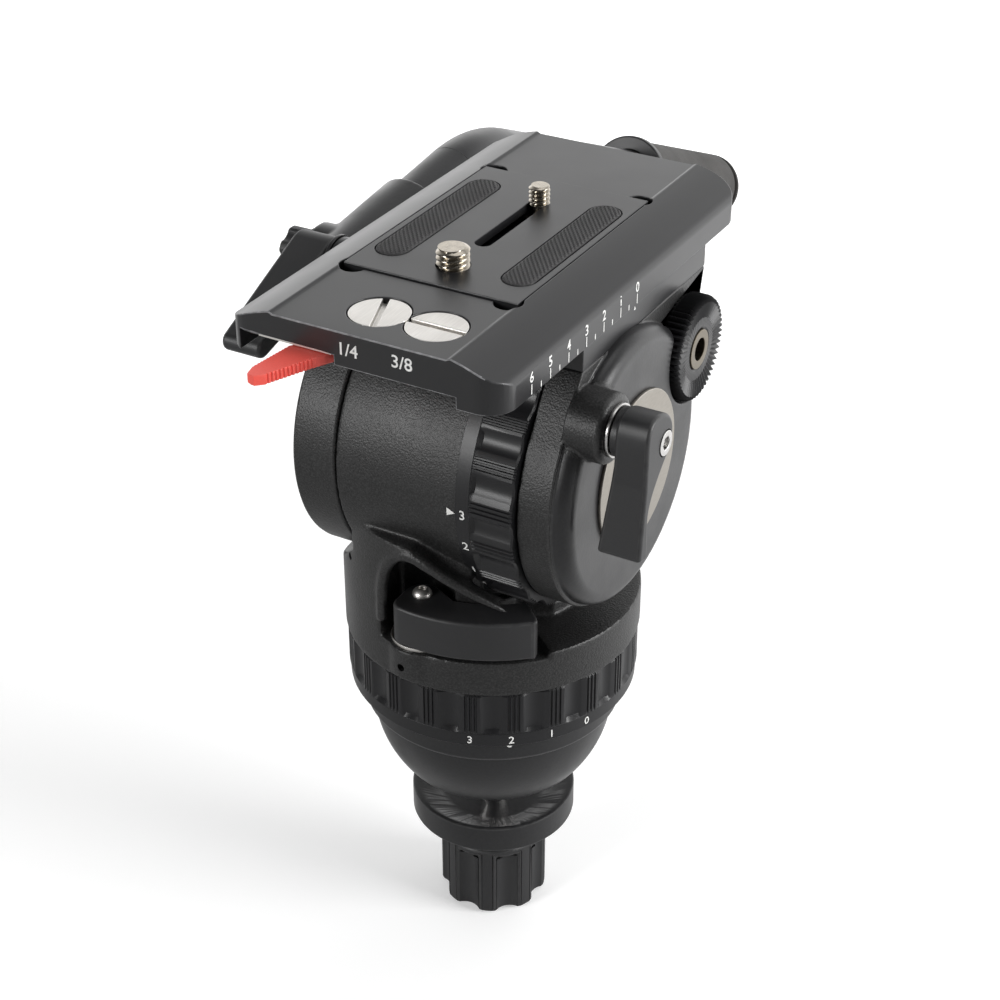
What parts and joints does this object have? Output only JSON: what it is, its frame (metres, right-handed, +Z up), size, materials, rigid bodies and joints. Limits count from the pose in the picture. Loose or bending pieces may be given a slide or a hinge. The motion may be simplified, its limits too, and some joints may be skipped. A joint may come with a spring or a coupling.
{
  "type": "fluid video head",
  "caption": "Fluid video tripod head with half-ball base, pan and tilt drag rings, lock levers, sliding camera plate and bent pan bar.",
  "frame": {"origin": "centre of the half ball, on the pan axis at the tripod bowl's rim", "axes": "+Z up along the pan axis, +X towards the tilt lever along the tilt axis, +Y towards the operator"},
  "size_m": [0.1606, 0.4123, 0.2382],
  "materials": {
    "black_anodised": "satin black anodised",
    "powder_coat": "fine grained black powder coat",
    "satin_black": "satin black paint",
    "ring_black": "satin gloss moulded black",
    "lever_plastic": "fine textured charcoal plastic",
    "steel": "turned steel",
    "bright_nickel": "polished nickel",
    "cover_metal": "brushed champagne anodised",
    "pad_rubber": "diamond knurled rubber",
    "key_red": "red moulded plastic",
    "grip_rubber": "ribbed soft rubber",
    "brass": "turned brass",
    "level_glass": "clear green vial"
  },
  "bodies": {
    "base": {"half_ball": "black_anodised", "base_plate": "satin_black", "base_screws": "steel", "pan_post": "steel", "pan_nut": "steel", "pan_drag_cartridge": "steel", "tie_down_stud": "steel"},
    "tie_down": {"clamp_cup": "satin_black", "tie_down_knob": "lever_plastic"},
    "pan_ring": {"pan_drag_ring": "ring_black"},
    "pan_body": {"main_body": "powder_coat", "pan_bearing": "steel", "pan_brake_shoe": "brass", "drum_end_plate": "steel", "left_tilt_bearing": "steel", "right_tilt_bearing": "steel", "tilt_drag_cartridge": "steel", "counterbalance_spring": "steel", "level_holder": "satin_black", "level_vial": "level_glass", "pan_lever_washer": "bright_nickel"},
    "pan_lever": {"pan_lock_lever": "lever_plastic", "pan_lever_screw": "bright_nickel"},
    "tilt_ring": {"tilt_drag_ring": "ring_black"},
    "yoke": {"platform": "powder_coat", "left_cheek": "powder_coat", "right_cheek": "powder_coat", "right_cover_disc": "cover_metal", "tilt_axle": "steel", "cheek_screws": "steel", "tilt_brake_shoe": "brass", "right_rosette": "satin_black", "right_rosette_insert": "brass", "left_rosette": "satin_black", "left_rosette_insert": "brass", "plate_lever_boss": "satin_black", "plate_lever_washer": "bright_nickel", "tilt_lever_washer": "bright_nickel"},
    "tilt_lever": {"tilt_lock_lever": "lever_plastic", "tilt_lever_screw": "bright_nickel"},
    "plate_lever": {"plate_lock_lever": "lever_plastic", "plate_lever_screw": "bright_nickel"},
    "plate": {"slide_plate": "black_anodised", "camera_plate": "black_anodised", "grip_pads": "pad_rubber", "spare_screw_1_4": "steel", "spare_screw_3_8": "steel", "key_pin": "steel"},
    "large_screw": {"camera_screw_3_8": "steel"},
    "small_screw": {"camera_screw_1_4": "steel"},
    "key": {"screw_key": "key_red"},
    "bar": {"bar_clamp": "black_anodised", "bar_tube": "black_anodised", "bar_grip": "grip_rubber", "grip_ring": "ring_black", "bar_end_cap": "ring_black"},
    "bar_knob": {"clamp_bolt": "steel", "clamp_knob": "lever_plastic"}
  },
  "joints": [
    {"name": "pan", "type": "hinge", "parent": "base", "child": "pan_body", "pos_m": [0, 0, 0.041], "axis": [0, 0, 1], "continuous": true},
    {"name": "tilt", "type": "hinge", "parent": "pan_body", "child": "yoke", "pos_m": [0, 0, 0.091], "axis": [1, 0, 0], "range_deg": [-70, 70]},
    {"name": "plate_slide", "type": "slide", "parent": "yoke", "child": "plate", "axis": [0, 1, 0], "range_m": [0, 0.06]},
    {"name": "tilt_drag", "type": "hinge", "parent": "pan_body", "child": "tilt_ring", "pos_m": [0, 0, 0.091], "axis": [1, 0, 0], "range_deg": [-45, 0]},
    {"name": "pan_drag", "type": "hinge", "parent": "base", "child": "pan_ring", "pos_m": [0, 0, 0.018], "axis": [0, 0, 1], "range_deg": [-31, 15.5]},
    {"name": "tilt_lock", "type": "hinge", "parent": "yoke", "child": "tilt_lever", "pos_m": [0.052, -0.0245, 0.117], "axis": [1, 0, 0], "range_deg": [-60, 0]},
    {"name": "pan_lock", "type": "hinge", "parent": "pan_body", "child": "pan_lever", "pos_m": [-0.003, -0.036, 0.047], "axis": [0, 0, 1], "range_deg": [-30, 0]},
    {"name": "plate_lock", "type": "hinge", "parent": "yoke", "child": "plate_lever", "pos_m": [-0.055, -0.002, 0.1344], "axis": [1, 0, 0], "range_deg": [0, 60]},
    {"name": "key_swing", "type": "hinge", "parent": "plate", "child": "key", "pos_m": [-0.0125, -0.0645, 0.142], "axis": [0, 0, 1], "range_deg": [-73, 17]},
    {"name": "small_screw_slide", "type": "slide", "parent": "plate", "child": "small_screw", "axis": [0, 1, 0], "range_m": [-0.032, 0]},
    {"name": "large_screw_turn", "type": "hinge", "parent": "plate", "child": "large_screw", "pos_m": [0, -0.0213, 0.152], "axis": [0, 0, 1], "continuous": true},
    {"name": "bar_angle", "type": "hinge", "parent": "yoke", "child": "bar", "pos_m": [-0.05, 0.037, 0.1125], "axis": [1, 0, 0], "range_deg": [-40, 60]},
    {"name": "bar_knob_turn", "type": "hinge", "parent": "bar", "child": "bar_knob", "pos_m": [-0.09, 0.037, 0.1125], "axis": [1, 0, 0], "continuous": true},
    {"name": "tie_down_turn", "type": "hinge", "parent": "base", "child": "tie_down", "pos_m": [0, 0, -0.06], "axis": [0, 0, 1], "continuous": true}
  ]
}
